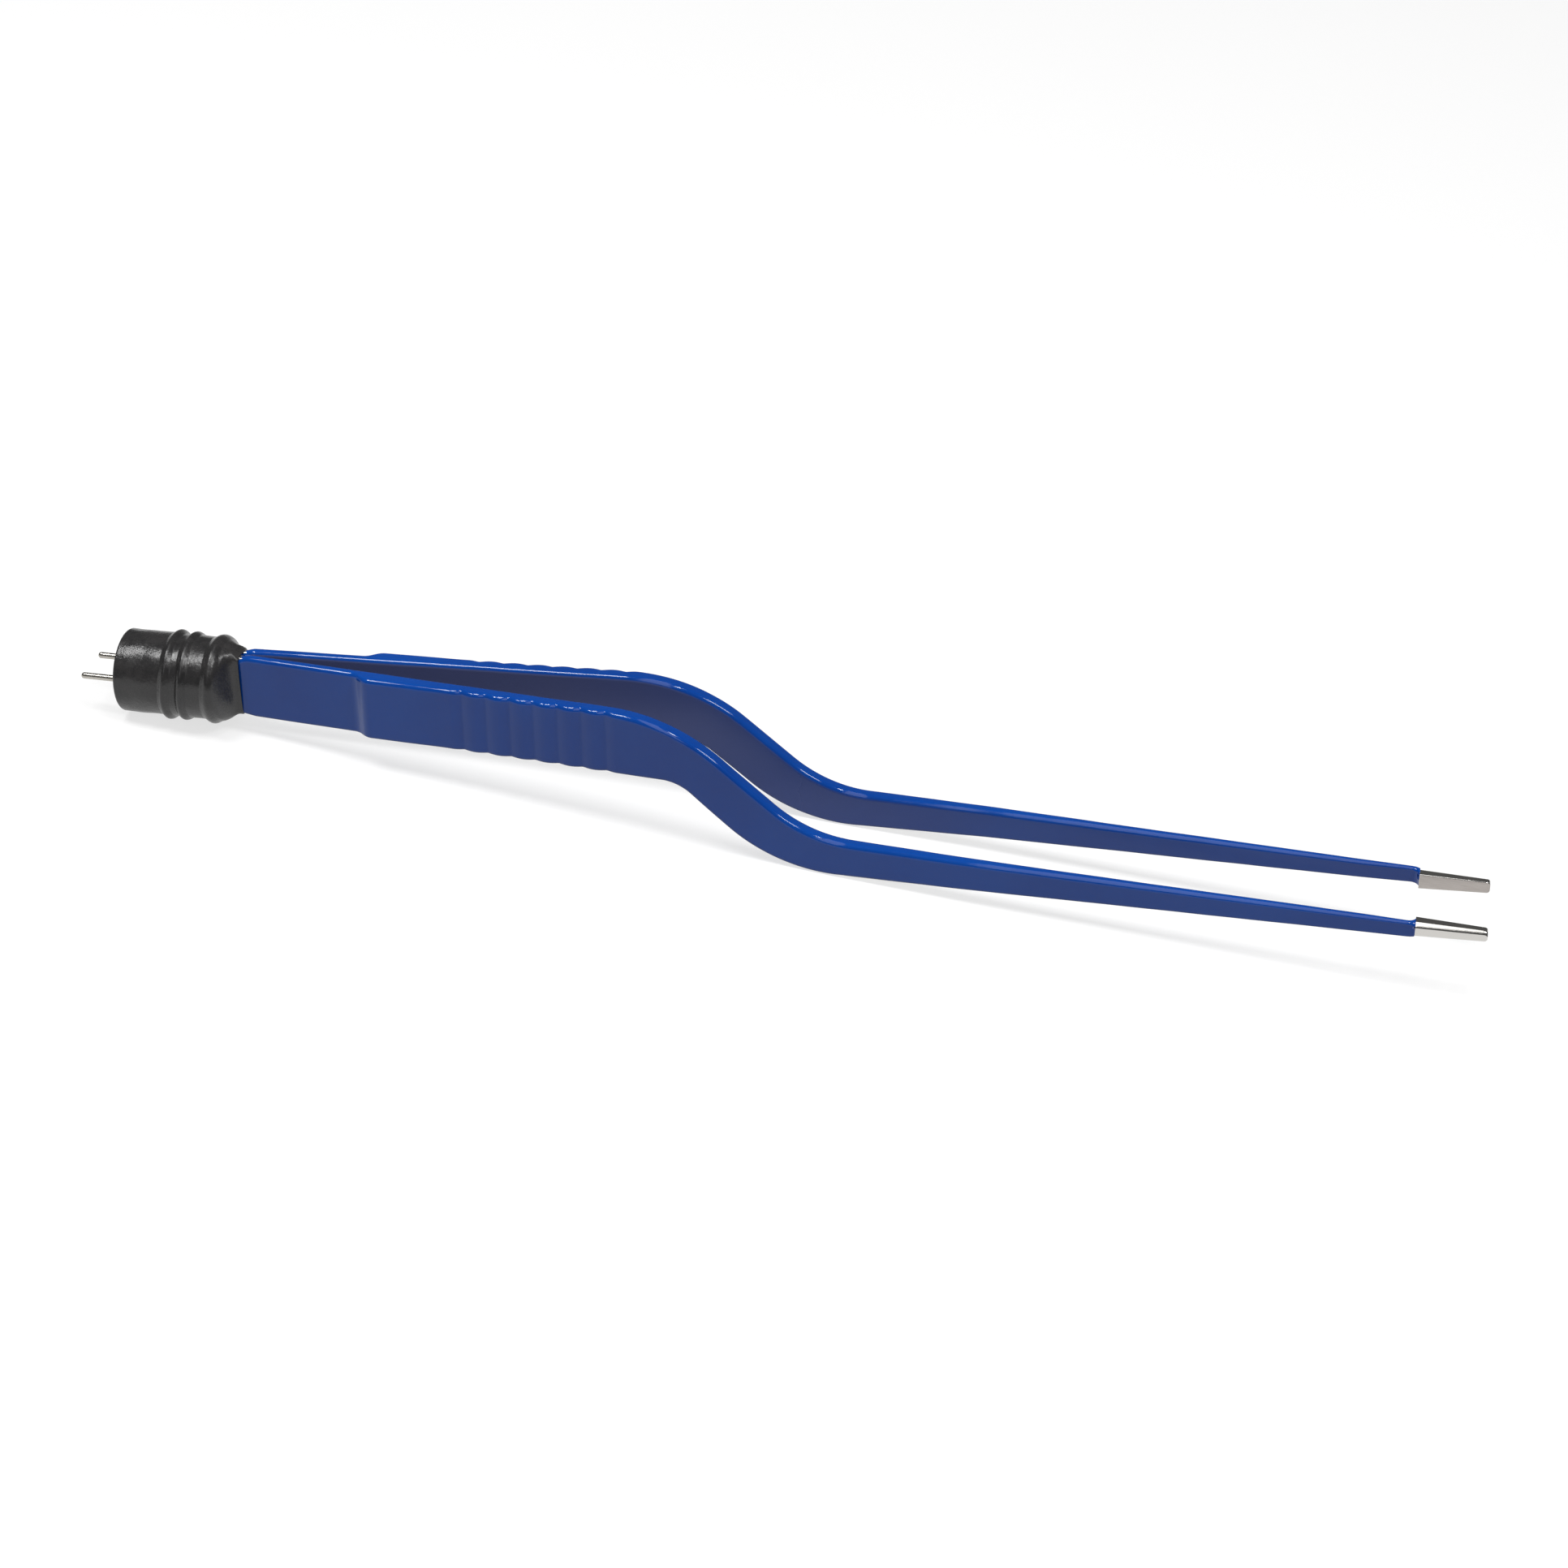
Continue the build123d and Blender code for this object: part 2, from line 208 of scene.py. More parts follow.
def makeCoatMaterial(name, inwards):
    # clear gloss over deep blue; where the surface looks towards the other arm, a duller finish and a painted
    # grey reflection in the base colour
    look = coatLook
    material, tree, shader = newMaterial(name)
    patches = noiseOn(tree, look["patchScale"])
    glossy = rampOf(tree, patches, *look["patchSpread"], look["deep"], look["bright"])
    place = tree.nodes.new("ShaderNodeSeparateXYZ")
    tree.links.new(tree.nodes.new("ShaderNodeTexCoord").outputs["Object"], place.inputs["Vector"])
    thins = rangeOf(tree, place.outputs["X"], *look["paintedReflectionAndDullEnds"], 1.0, look["paintedReflectionAndDullLeft"])
    # mask for the painted reflection: 1 on faces towards the other arm, thinning along x; it also makes the
    # roughness duller there
    paintedReflectionAndDull = tree.nodes.new("ShaderNodeMath")
    paintedReflectionAndDull.operation = "MULTIPLY"
    tree.links.new(facingOf(tree, inwards, *look["paintedReflectionAndDullFacing"]), paintedReflectionAndDull.inputs[0])
    tree.links.new(thins, paintedReflectionAndDull.inputs[1])
    # painted reflection: the base colour turns grey-blue where that mask is on
    paintedReflectionMix = tree.nodes.new("ShaderNodeMix")  # its sockets 6 and 7 take the two colours, and 2 gives the mix
    paintedReflectionMix.data_type = "RGBA"
    tree.links.new(paintedReflectionAndDull.outputs["Value"], paintedReflectionMix.inputs["Factor"])
    tree.links.new(glossy, paintedReflectionMix.inputs[6])
    paintedReflectionMix.inputs[7].default_value = (*look["paintedReflectionGrey"], 1)
    tree.links.new(paintedReflectionMix.outputs[2], shader.inputs["Base Color"])
    smears = noiseOn(tree, look["patchScale"] * look["smearsPerPatch"], 3)
    dull = tree.nodes.new("ShaderNodeMix")
    tree.links.new(paintedReflectionAndDull.outputs["Value"], dull.inputs["Factor"])
    tree.links.new(rangeOf(tree, smears, *noiseSpread, *look["roughness"]), dull.inputs["A"])
    dull.inputs["B"].default_value = look["hazyRoughness"]
    tree.links.new(dull.outputs["Result"], shader.inputs["Roughness"])
    peel = bumpFrom(tree, noiseOn(tree, look["peelScale"], 2), *look["peelBump"])
    tree.links.new(peel, shader.inputs["Normal"])
    shader.inputs["IOR"].default_value = look["refraction"]
    return material


sleeveLook = {
    "dark": (0.013, 0.013, 0.014),
    "worn": (0.036, 0.034, 0.034),
    "patchScale": 260,  # blotches of about 4 mm
    "patchSpread": (0.32, 0.72),
    "roughness": (0.18, 0.34),
    "waveScale": 420,  # waves of about 2.4 mm
    "waveBump": (0.28, 0.0003),
    "grainScale": 2600,  # grain of about 0.4 mm
    "grainBump": (0.4, 0.00008),
}


def makeSleeveMaterial():
    # black skin with paler worn blotches, under slow waves and a fine grain
    look = sleeveLook
    material, tree, shader = newMaterial("shrunkBlackSleeve")
    patches = noiseOn(tree, look["patchScale"], 6, roughness=0.7)
    skin = rampOf(tree, patches, *look["patchSpread"], look["dark"], look["worn"])
    tree.links.new(skin, shader.inputs["Base Color"])
    tree.links.new(rangeOf(tree, patches, *noiseSpread, *look["roughness"]), shader.inputs["Roughness"])
    waves = bumpFrom(tree, noiseOn(tree, look["waveScale"], 3), *look["waveBump"])
    grain = bumpFrom(tree, noiseOn(tree, look["grainScale"], 4), *look["grainBump"], waves)
    tree.links.new(grain, shader.inputs["Normal"])
    return material


tipLook = {
    "polished": (0.58, 0.565, 0.54),
    "matte": (0.47, 0.435, 0.41),
    "groundFacing": (0.93, 0.98),
    "scratchScale": 1500,
    "scratchStretch": (0.3, 1, 6),
    "scratchBump": (0.01, 0.00005),
    "polish": (0.06, 0.13),
    "grind": (0.42, 0.60),
}


def makeTipMaterial(name, inwards):
    # mirror finish, and a fine ground finish where the surface looks towards the other tip
    look = tipLook
    material, tree, shader = newMaterial(name)
    ground = facingOf(tree, inwards, *look["groundFacing"])
    finish = rampOf(tree, ground, 0.0, 1.0, look["polished"], look["matte"])
    tree.links.new(finish, shader.inputs["Base Color"])
    scratches = noiseOn(tree, look["scratchScale"], 3, look["scratchStretch"])
    blend = tree.nodes.new("ShaderNodeMix")
    tree.links.new(ground, blend.inputs["Factor"])
    tree.links.new(rangeOf(tree, scratches, *noiseSpread, *look["polish"]), blend.inputs["A"])
    tree.links.new(rangeOf(tree, scratches, *noiseSpread, *look["grind"]), blend.inputs["B"])
    tree.links.new(blend.outputs["Result"], shader.inputs["Roughness"])
    tree.links.new(bumpFrom(tree, scratches, *look["scratchBump"]), shader.inputs["Normal"])
    shader.inputs["Metallic"].default_value = 1.0
    return material


plainLooks = {
    "platedPin": {
        "low": (0.40, 0.38, 0.345), "high": (0.48, 0.46, 0.42), "roughness": (0.22, 0.30),
        "scale": 260, "stretch": (3, 1, 1), "bump": (0.12, 0.00004), "metallic": 1.0,
    },
    "brassLug": {
        "low": (0.58, 0.40, 0.16), "high": (0.72, 0.53, 0.24), "roughness": (0.28, 0.45),
        "scale": 900, "stretch": (1, 1, 1), "bump": (0.12, 0.00004), "metallic": 1.0,
    },
    "bladeSteel": {
        "low": (0.50, 0.50, 0.49), "high": (0.66, 0.66, 0.65), "roughness": (0.25, 0.42),
        "scale": 1200, "stretch": (0.3, 4, 4), "bump": (0.12, 0.00004), "metallic": 1.0,
    },
    "coreResin": {
        "low": (0.010, 0.010, 0.011), "high": (0.030, 0.029, 0.028), "roughness": (0.35, 0.55),
        "scale": 800, "stretch": (1, 1, 1), "bump": (0.2, 0.00008), "metallic": 0.0,
    },
    "dividerSheet": {
        "low": (0.30, 0.22, 0.12), "high": (0.42, 0.32, 0.19), "roughness": (0.35, 0.5),
        "scale": 600, "stretch": (1, 1, 1), "bump": (0.2, 0.00005), "metallic": 0.0,
    },
}


def makePlainMaterial(name):
    # one noise moves the tone, the roughness and the bump: drawn lines where it is stretched, else clouds
    look = plainLooks[name]
    material, tree, shader = newMaterial(name)
    marks = noiseOn(tree, look["scale"], 5, look["stretch"])
    tree.links.new(rampOf(tree, marks, *noiseSpread, look["low"], look["high"]), shader.inputs["Base Color"])
    tree.links.new(rangeOf(tree, marks, *noiseSpread, *look["roughness"]), shader.inputs["Roughness"])
    tree.links.new(bumpFrom(tree, marks, *look["bump"]), shader.inputs["Normal"])
    shader.inputs["Metallic"].default_value = look["metallic"]
    return material


blueCoatLeft = makeCoatMaterial("blueCoatLeft", -1)
blueCoatRight = makeCoatMaterial("blueCoatRight", 1)
blackSleeve = makeSleeveMaterial()
tipMetalLeft = makeTipMaterial("tipMetalLeft", -1)
tipMetalRight = makeTipMaterial("tipMetalRight", 1)
platedPin = makePlainMaterial("platedPin")
brassLug = makePlainMaterial("brassLug")
bladeSteel = makePlainMaterial("bladeSteel")
coreResin = makePlainMaterial("coreResin")
dividerSheet = makePlainMaterial("dividerSheet")
print("materials made")


# Carried-over nodes keep their shape and get their finish
nodeFinish = {
    "contact_pin_left": platedPin,
    "contact_pin_right": platedPin,
    "lug_left": brassLug,
    "lug_right": brassLug,
    "blade_left": bladeSteel,
    "blade_right": bladeSteel,
    "connector_body": coreResin,
    "tail_divider": dividerSheet,
    "shrink_sleeve": blackSleeve,
    "coating_left": blueCoatLeft,
    "coating_right": blueCoatRight,
    "tip_left": tipMetalLeft,
    "tip_right": tipMetalRight,
}
for nodeName, finish in nodeFinish.items():
    nodeMesh = frame["nodes"][nodeName].data
    nodeMesh.materials.clear()
    nodeMesh.materials.append(finish)
print("nodes dressed")


# Coated arms

armShape = {
    # each line's corners are place, distance and rounding radius
    "innerLine": [
        (12.5, 0.12, 0), (18.5, 0.12, 12), (93, 5.42, 120), (130, 6.42, 120), (185, 6.6, 60),
        (193.3, 6.88, 0),
    ],
    "outerLine": [
        (12.5, 1.72, 0), (18.5, 1.72, 12), (37.1, 3.1131, 2.4), (38.9, 4.5479, 2.4), (51, 5.0042, 40),
        (93, 7.95, 120), (130, 8.4, 120), (193.3, 7.72, 0),
    ],
    "topLine": [
        (12.5, 4.55, 0), (18.3, 4.55, 2), (19.9, 5.03, 2), (86.0, 5.03, 27), (106.2, -11.7, 19.5),
        (193.3, -14.55, 0),
    ],
    "bottomLine": [
        (12.5, -4.55, 0), (17.8, -4.55, 2), (20.4, -4.95, 4), (87.0, -4.95, 7), (101.6, -17.3, 25),
        (193.3, -16.95, 0),
    ],
    "topEdge": 0.75,
    "bottomEdge": 0.45,
    "edgeRoom": 2.3,  # edges shrink where the arm is thinner than this many top edges
    "edgeLeast": 0.05,  # but never to less than this share
    "fluteFirst": 54.0,
    "flutePitch": 3.68,
    "fluteCount": 7,
    "fluteDepth": 0.42,
    "fluteSoftness": 0.02,
    "flutePower": 0.45,
    "flareEnd": 193.3,
    "flareLength": 1.9,
    "flareRise": 1.236,
    "flarePower": 4.2,
    "filmRipple": 0.018,
    "rippleEnd": 190,
    "rippleFade": 10,
    "innerRipple": (9, [8.1, 13.3, 19.1, 31.0]),  # seed and wavelengths
    "outerRipple": (5, [7.3, 11.9, 17.7, 29.0]),
    "topRipple": (15, [9.7, 14.9, 23.0]),
    "bottomRipple": (21, [9.1, 15.7, 27.0]),
    # stretches of the arm and how many rows each has, more where the form changes quickly
    "rowRuns": [
        (16.9, 19.0, 12), (19.0, 36.0, 34), (36.0, 40.2, 36), (40.2, 51.8, 26), (51.8, 78.4, 190),
        (78.4, 116.0, 130), (116.0, 190.8, 110), (190.8, 193.2, 30),
    ],
    # the last rows round off the end: their places and how far they draw in
    "endPlaces": [193.22, 193.27, 193.3, 193.3],
    "endShrinks": [0.01, 0.04, 0.09, 0.5],
}


def fluteCut(x):
    # depth of the scallops: full at each flute's middle and none half way to the next, from a power of a sine
    # that makes the valleys narrow and rounds them
    shape = armShape
    first, pitch = shape["fluteFirst"], shape["flutePitch"]
    last = first + (shape["fluteCount"] - 1) * pitch
    wave = np.sin(np.pi * (x - first) / pitch)
    cut = 1 - (wave**2 + shape["fluteSoftness"]) ** shape["flutePower"]
    inRow = (x > first - pitch / 2) & (x < last + pitch / 2)
    return shape["fluteDepth"] * np.where(inRow, np.maximum(cut, 0), 0)


def sectionSteps(topEdge, bottomEdge, arcSteps=7, hold=0.1):
    # steps round a rounded rectangle, up its inner face and down its outer one: a weight between the two
    # lines and an offset from them, across and up. Each corner is an arc with a step before and after it.
    turns = np.linspace(0, np.pi / 2, arcSteps)
    out = np.concatenate([[0], 1 - np.cos(turns), [1 + hold]])
    rise = np.concatenate([[1 + hold], 1 - np.sin(turns), [0]])
    none, full = np.zeros(len(out)), np.ones(len(out))
    spread = np.array([0.25, 0.5, 0.75])
    parts = [  # across weight, across offset, up weight, up offset
        (0 * spread, 0 * spread, spread, 0 * spread),
        (none, out, full, -rise),
        ([0.5], [0], [1], [0]),
        (full, -out[::-1], full, -rise[::-1]),
        (0 * spread + 1, 0 * spread, spread[::-1], 0 * spread),
        (full, -out, none, rise),
        ([0.5], [0], [0], [0]),
        (none, out[::-1], none, rise[::-1]),
    ]
    acrossWeight, acrossOffset, upWeight, upOffset = (np.concatenate(column) for column in zip(*parts))
    radius = np.where(upWeight > 0.5, topEdge, bottomEdge)
    return acrossWeight, radius * acrossOffset, upWeight, radius * upOffset


def slopeStretch(x, corners):
    # how much longer a sloping line is than its run; the tiny steps keep repeated places apart
    return np.sqrt(1 + np.gradient(roundedLine(x, corners), x + np.arange(len(x)) * 1e-9) ** 2)


def makeCoat(name, way, body, node, material):
    # at each place along the handle an upright rounded rectangle fills the space between the plan's two lines
    # and the side view's two lines; its corner arcs are stretched by the slope so the edges stay evenly
    # rounded. The flutes cut into the outer line, the inner line flares inwards by a power at the tip, and
    # each line ripples a little.
    shape = armShape
    x = np.concatenate([np.linspace(*ends, count, endpoint=False) for *ends, count in shape["rowRuns"]])
    shrink = np.concatenate([np.zeros_like(x), shape["endShrinks"]])
    x = np.concatenate([x, shape["endPlaces"]])
    fade = np.clip((shape["rippleEnd"] - x) / shape["rippleFade"], 0, 1)

    def rippleOf(line):
        seed, wavelengths = shape[line]
        return fade * ripple(x, seed + way, wavelengths, shape["filmRipple"])

    flare = np.clip((x - shape["flareEnd"] + shape["flareLength"]) / shape["flareLength"], 0, 1)
    inner = roundedLine(x, shape["innerLine"]) - shape["flareRise"] * flare ** shape["flarePower"]
    inner = inner - rippleOf("innerRipple") + shrink
    outer = roundedLine(x, shape["outerLine"]) - fluteCut(x) + rippleOf("outerRipple") - shrink
    top = roundedLine(x, shape["topLine"]) + rippleOf("topRipple") - shrink
    bottom = roundedLine(x, shape["bottomLine"]) - rippleOf("bottomRipple") + shrink
    acrossWeight, acrossOffset, upWeight, upOffset = sectionSteps(shape["topEdge"], shape["bottomEdge"])
    width = (outer - inner)[:, None]
    fit = np.clip(width / (shape["edgeRoom"] * shape["topEdge"]), shape["edgeLeast"], 1)
    y = inner[:, None] + width * acrossWeight + acrossOffset * fit
    topStretch = slopeStretch(x, shape["topLine"])[:, None]
    bottomStretch = slopeStretch(x, shape["bottomLine"])[:, None]
    stretch = np.where(upOffset < 0, topStretch, bottomStretch)
    z = bottom[:, None] + (top - bottom)[:, None] * upWeight + upOffset * stretch * fit
    meshFromGrid(name, toRow(x[:, None], way * y, z), material, body, node)


makeCoat("coatLeft", 1, "arm_left", "coating_left", blueCoatLeft)
makeCoat("coatRight", -1, "arm_right", "coating_right", blueCoatRight)
print("coats made")


# Bare tips

tipShape = {
    "start": 193.3,
    "end": 203.3,
    "drop": 15.9,
    "rootHeight": 2.4,
    "endHeight": 1.8,
    "rootThickness": 2.05,
    "endThickness": 1.4,
    "endGap": 5.9,
    "closingAngle": 1.8105,  # degrees of lean at rest, which closing the arm takes away
    "roundRadius": 1.0,
    "roundTaper": 0.25,  # share of the radius lost by the end
    "roundMost": 0.47,  # share of the height or thickness that a round may take
    "padEdge": 0.12,
    "padEdgeMost": 0.2,
    "edgeHold": 0.03,
    "cornerRadius": 0.45,
    "bodyRows": 40,
    "arcSteps": 9,
    # rows hidden in the coat: place, thinner outside, above and below, thinner inside
    "rootRows": [(192.2, 0.45, 1.3), (193.25, 0.45, 1.3), (193.26, 0.0, 0.0)],
    # rows of the end face: further in above and below, further in across
    "endRows": [(0.05, 0.06), (0.3, 0.3)],
}


def makeTip(name, way, body, node, material):
    # a flat face towards the other tip, two wide rounded edges behind it, tapering both ways to the end,
    # whose corners are quarter circles in the side view; a thinner root goes into the coat
    shape = tipShape
    start, end, corner = shape["start"], shape["end"], shape["cornerRadius"]
    rootPlaces, rootThin, rootInside = np.array(shape["rootRows"]).T
    endUp, endAcross = np.array(shape["endRows"]).T
    bodyPlaces = np.linspace(start, end - corner, shape["bodyRows"])
    turns = np.linspace(0, np.pi / 2, shape["arcSteps"])
    cornerPlaces = end - corner * (1 - np.sin(turns[1:]))
    x = np.concatenate([rootPlaces, bodyPlaces, cornerPlaces, [end, end]])
    after = np.zeros(len(x) - len(rootPlaces))
    thin = np.concatenate([rootThin, after])
    inside = np.concatenate([rootInside, after])
    chamfer = np.zeros_like(x)
    chamfer[len(rootPlaces) + len(bodyPlaces):-2] = corner * (1 - np.cos(turns[1:]))
    chamfer[-2:] = corner + endUp
    edge = np.zeros_like(x)
    edge[-2:] = endAcross
    share = np.clip((x - start) / (end - start), 0, 1)
    height = shape["rootHeight"] + share * (shape["endHeight"] - shape["rootHeight"]) - 2 * chamfer - 2 * thin
    thick = shape["rootThickness"] + share * (shape["endThickness"] - shape["rootThickness"])
    thick = thick - 2 * edge - thin - inside
    face = shape["endGap"] - (end - x) * np.tan(np.radians(shape["closingAngle"])) + edge + inside
    room = np.minimum(height, thick)[:, None]
    back = shape["roundRadius"] * (1 - shape["roundTaper"] * share)[:, None]
    back = np.minimum(back, shape["roundMost"] * room)
    small = np.minimum(shape["padEdge"], shape["padEdgeMost"] * room)
    half, thick = height[:, None] / 2, thick[:, None]
    out, rise = 1 - np.cos(turns), 1 - np.sin(turns)
    hold = small + shape["edgeHold"]
    parts = [  # across from the flat face and up from the middle, round the section
        (0 * half, -half * 0.5),
        (0 * half, 0 * half),
        (0 * half, half * 0.5),
        (small * out, half - small * rise),
        (hold, half),
        (thick - back * out[::-1], half - back * rise[::-1]),
        (thick - back * out, -half + back * rise),
        (hold, -half),
        (small * out[::-1], -half + small * rise[::-1]),
    ]
    y = np.concatenate([across for across, _ in parts], 1) + face[:, None]
    z = np.concatenate([up for _, up in parts], 1) - shape["drop"]
    meshFromGrid(name, toRow(x[:, None], way * y, z), material, body, node)


makeTip("tipLeft", 1, "arm_left", "tip_left", tipMetalLeft)
makeTip("tipRight", -1, "arm_right", "tip_right", tipMetalRight)
print("tips made")


# Shrunk sleeve

sleeveShape = {
    "length": 18.5,
    "radius": 6.25,
    "wall": 0.85,
    "rings": [(7.8, 1.4, 0.5), (10.4, 1.4, 0.48), (14.7, 1.9, 0.52)],  # place, width, height
    "ringSpread": 0.66,
    "ringPower": 0.8,
    "ringUneven": 0.12,
    "tilt": 0.28,  # how far forward the rings lean at the top
    "wander": 0.10,  # how far a ring strays along the sleeve as it goes round
    "noseStart": 15.6,
    "noseEnd": 18.1,
    "noseRadius": 5.0,
    "nosePower": 1.1,
    "noseSwell": 0.35,
    "boreEnd": 16.3,
    "boreShoulder": 0.6,
    "slotHalf": (1.86, 4.72),
    "slotPower": 6,
    "lipWidth": 0.3,
    "lipExtra": 0.45,  # how much wider the lip is on top
    "lipRows": [(0.15, 0.05), (0.5, 0.08), (0.85, 0.05), (1.0, 0.0)],  # share of the way in, forward bulge
    "swell": 0.05,  # how far the skin stands in and out
    "swellStart": 3,
    "swellWaves": [(0.6, 3, 0.9, 0), (0.5, 5, -0.55, 1), (0.4, 2, 1.7, 0)],  # height, round, along, phase
    "rimRows": [(0.30, 0.0), (0.10, 0.10), (0.0, 0.30)],  # place, rounding off the wall
    "rimInside": 0.4,  # share of that rounding on the bore's side
    "rearRows": (0.36, 6.6, 34),  # first place, last place, rows of the plain rear part
    "frontRows": 220,
    "roundSteps": 160,
}


def makeSleeve():
    # outer skin: a tube with rounded rings, each leaning and straying a little as it goes round, and slow
    # waves over all of it; past the last ring its section changes smoothly from a circle to the oblong slot
    # round the two arms, so the nose is drawn in at the sides; the slot's wall then runs back and the bore
    # returns to the rear rim, which makes the skin one closed loop turned round the handle
    shape = sleeveShape
    angle = np.linspace(0, 2 * np.pi, shape["roundSteps"], endpoint=False)
    rearStart, rearEnd, rearCount = shape["rearRows"]
    rear = np.linspace(rearStart, rearEnd, rearCount, endpoint=False)
    x = np.concatenate([rear, np.linspace(rearEnd, shape["length"], shape["frontRows"])])
    along, turn = x[:, None], angle[None, :]
    stray = shape["tilt"] * np.sin(turn)
    stray = stray + shape["wander"] * (np.sin(2 * turn + 2.1) + 0.6 * np.sin(3 * turn))
    radius = np.full((len(x), len(angle)), shape["radius"])
    for number, (place, width, height) in enumerate(shape["rings"]):
        spread = np.clip(np.abs(along - place - stray) / (shape["ringSpread"] * width), 0, 1)
        lift = height * (1 + shape["ringUneven"] * np.sin(turn * 2 + 1.7 * number))
        radius = radius + lift * (0.5 + 0.5 * np.cos(np.pi * spread)) ** shape["ringPower"]
    halfWidth, halfHeight = shape["slotHalf"]
    power = shape["slotPower"]
    cosine, sine = np.abs(np.cos(angle)), np.abs(np.sin(angle))
    slot = ((cosine / halfWidth) ** power + (sine / halfHeight) ** power) ** (-1 / power)
    lipEdge = slot + shape["lipWidth"] + shape["lipExtra"] * np.maximum(np.sin(angle), 0) ** 2
    fall = np.clip((along - shape["noseStart"]) / (shape["length"] - shape["noseStart"]), 0, 1)
    nose = radius - (shape["radius"] - shape["noseRadius"]) * fall ** shape["nosePower"]
    nose = nose + shape["noseSwell"] * fall * (1 - fall)
    pinch = np.clip((along - shape["noseStart"]) / (shape["noseEnd"] - shape["noseStart"]), 0, 1)
    pinch = (pinch**2 * (3 - 2 * pinch)) ** (1 + sine**2)
    radius = nose + pinch * (np.minimum(lipEdge, nose) - nose)
    skin = sum(
        height * np.sin(turns * turn + waves * along + phase)
        for height, turns, waves, phase in shape["swellWaves"]
    )
    radius = radius + shape["swell"] * skin * np.clip(along / shape["swellStart"], 0, 1) * (1 - pinch)
    bore = np.full_like(angle, shape["radius"] - shape["wall"])
    front = radius[-1]
    loops = list(zip(x, radius))
    loops += [(shape["length"] + bulge, front + share * (slot - front)) for share, bulge in shape["lipRows"]]
    loops += [(shape["boreEnd"], slot)]
    loops += [(shape["boreEnd"], slot + shape["boreShoulder"] * (bore - slot))]
    loops += [(shape["boreEnd"], bore)]
    loops += [(place, bore + shape["rimInside"] * cut) for place, cut in shape["rimRows"]]
    loops += [(place, radius[0] - cut) for place, cut in shape["rimRows"][::-1]]
    places = np.array([place for place, _ in loops])[:, None]
    reach = np.array([far for _, far in loops])
    points = toRow(places, reach * np.cos(angle), reach * np.sin(angle))
    meshFromGrid(
        "shrinkSleeve", points, blackSleeve, "connector", "shrink_sleeve", hasEnds=False
    )


makeSleeve()
print("sleeve made")


# Potting round the pins

pottingShape = {
    "place": 0.62,
    "depth": 0.05,  # how far the face and the back stand from the place
    "radius": 5.36,
    "hole": 0.02,  # the innermost ring as a share of the radius
    "pinRadius": 0.48,
    "pinSide": 3.25,
    "rise": 0.28,
    "reach": 0.35,
    "rows": 60,
    "roundSteps": 120,
}


def makePotting():
    # a round face that creeps up the rim and up each pin, falling off exponentially with distance, with a
    # shallow dish between
    shape = pottingShape
    radii = np.linspace(shape["hole"], 1, shape["rows"])[:, None] * shape["radius"]
    angle = np.linspace(0, 2 * np.pi, shape["roundSteps"], endpoint=False)
    y = radii * np.cos(angle)
    z = radii * np.sin(angle)
    rise = shape["rise"] * np.exp(-(shape["radius"] - radii) / shape["reach"])
    for way in (-1, 1):
        gap = np.maximum(np.hypot(y - way * shape["pinSide"], z) - shape["pinRadius"], 0)
        rise = np.maximum(rise, shape["rise"] * np.exp(-gap / shape["reach"]))
    x = shape["place"] - rise - shape["depth"]
    back = np.full_like(y[-1:], shape["place"] + shape["depth"])
    x = np.concatenate([x, back, back])
    y = np.concatenate([y, y[-1:], shape["hole"] * y[-1:]])
    z = np.concatenate([z, z[-1:], shape["hole"] * z[-1:]])
    meshFromGrid("pottingFace", toRow(x, y, z), coreResin, "connector", None)


makePotting()
print("potting made")


# Floor, light and camera

stageSetup = {
    "floorSize": 6.0,  # metres
    "floorTone": 0.31,
    "floorRoughness": 0.9,
    "floorShine": 0.1,
    "floorGlow": 0.71,
    "worldTone": 0.12,
}


def makeFloor():
    # one flat square under the object; camera, mirror and see-through rays see it lifted to white
    half = stageSetup["floorSize"] / 2
    corners = [(-half, -half, 0), (half, -half, 0), (half, half, 0), (-half, half, 0)]
    mesh = bpy.data.meshes.new("studioFloor")
    mesh.from_pydata(corners, [], [(0, 1, 2, 3)])
    material, tree, shader = newMaterial("paleFloor")
    tone = stageSetup["floorTone"]
    shader.inputs["Base Color"].default_value = (tone, tone, tone, 1)
    shader.inputs["Roughness"].default_value = stageSetup["floorRoughness"]
    shader.inputs["Specular IOR Level"].default_value = stageSetup["floorShine"]
    shader.inputs["Emission Color"].default_value = (1, 1, 1, 1)
    path = tree.nodes.new("ShaderNodeLightPath")
    seen = path.outputs["Is Camera Ray"]
    for ray in ("Is Glossy Ray", "Is Transmission Ray"):
        either = tree.nodes.new("ShaderNodeMath")
        either.operation = "MAXIMUM"
        tree.links.new(seen, either.inputs[0])
        tree.links.new(path.outputs[ray], either.inputs[1])
        seen = either.outputs["Value"]
    glow = tree.nodes.new("ShaderNodeMath")
    glow.operation = "MULTIPLY"
    glow.inputs[1].default_value = stageSetup["floorGlow"]
    tree.links.new(seen, glow.inputs[0])
    tree.links.new(glow.outputs["Value"], shader.inputs["Emission Strength"])
    mesh.materials.append(material)
    floor = bpy.data.objects.new("studioFloor", mesh)
    bpy.context.scene.collection.objects.link(floor)


def makeWorld():
    # even, soft room light
    world = bpy.data.worlds.new("softRoom")
    world.use_nodes = True
    bpy.context.scene.world = world
    tone = stageSetup["worldTone"]
    background = world.node_tree.nodes["Background"]
    background.inputs["Color"].default_value = (tone, tone, tone, 1)
    background.inputs["Strength"].default_value = 1.0


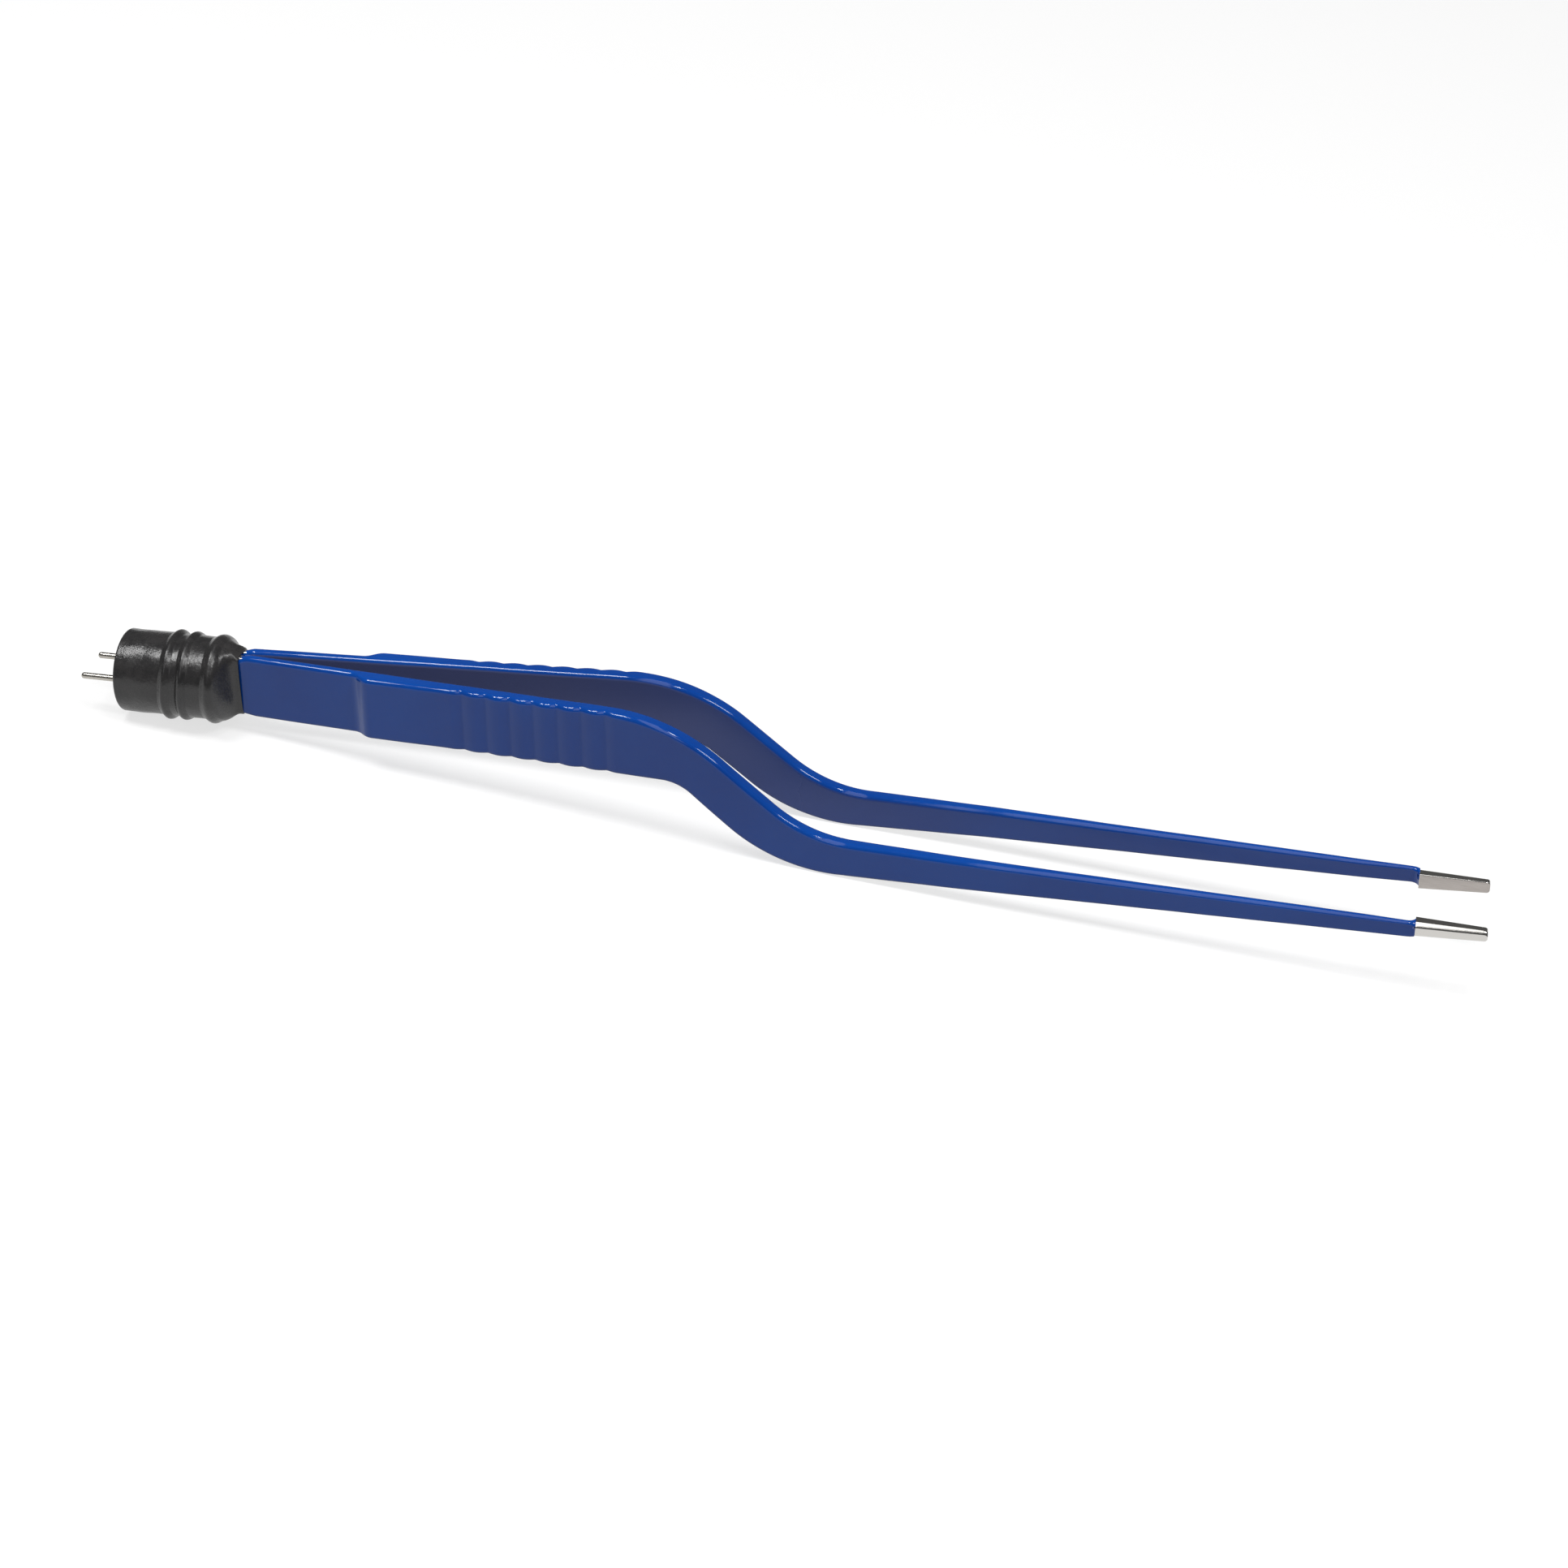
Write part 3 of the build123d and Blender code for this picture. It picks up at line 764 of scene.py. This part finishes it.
lampSetup = {  # metres in the shared frame
    "gripStrip": {"from": (-0.34, -0.18, 0.95), "at": (-0.05, 0, 0.01), "size": (0.18, 0.34), "watts": 3.8},
    "sleeveStrip": {"from": (-0.53, -0.17, 0.87), "at": (-0.05, 0, 0.01), "size": (0.08, 0.34), "watts": 2.1},
    "bendStrip": {"from": (0.175, -0.17, 0.97), "at": (0, 0, 0.01), "size": (0.05, 0.30), "watts": 1.4},
    "sideBox": {"from": (0.53, -0.17, 0.86), "at": (0, 0, 0.01), "size": (0.24, 0.30), "watts": 3.4},
    "tipStrip": {"from": (-0.01, -0.35, 0.95), "at": (0.04, 0, 0.01), "size": (0.24, 1.9), "watts": 2.8},
}


def makeLamps():
    # rectangles of light, each turned from where it stands to the point it looks at, its width along x
    for name, lamp in lampSetup.items():
        light = bpy.data.lights.new(name, "AREA")
        light.shape = "RECTANGLE"
        light.size, light.size_y = lamp["size"]
        light.energy = lamp["watts"]
        holder = bpy.data.objects.new(name, light)
        back = np.array(lamp["from"], float) - lamp["at"]
        back /= np.linalg.norm(back)
        right = np.cross([0, 1, 0], back)
        right /= np.linalg.norm(right)
        up = np.cross(back, right)
        turn = np.eye(4)
        turn[:3, 0], turn[:3, 1], turn[:3, 2], turn[:3, 3] = right, up, back, lamp["from"]
        holder.matrix_world = Matrix(turn.tolist())
        bpy.context.scene.collection.objects.link(holder)


cameraSetup = {
    "position": (186.7163, -390.0492, 230.9680),  # in the handle's frame, millimetres
    "right": (0.97717, 0.21244, -0.00322),
    "up": (-0.10629, 0.50191, 0.85836),
    "back": (0.18396, -0.83842, 0.51303),
    "lens": 73.04,
    "sensor": 36.0,
    "clip": (0.01, 20),  # metres
}


def makeCamera():
    # the camera that was fitted to the photograph's outlines
    data = bpy.data.cameras.new("photoCamera")
    data.lens = cameraSetup["lens"]
    data.sensor_width = cameraSetup["sensor"]
    data.clip_start, data.clip_end = cameraSetup["clip"]
    camera = bpy.data.objects.new("photoCamera", data)
    turn = np.eye(4)
    for column, key in enumerate(("right", "up", "back")):
        turn[:3, column] = 1000 * (toRow(*cameraSetup[key]) - rimMiddle)
    turn[:3, 3] = toRow(*cameraSetup["position"])
    camera.matrix_world = Matrix(turn.tolist())
    bpy.context.scene.collection.objects.link(camera)
    bpy.context.scene.camera = camera


makeFloor()
makeWorld()
makeLamps()
makeCamera()
bpy.context.scene.view_settings.view_transform = "Standard"
print("stage set")
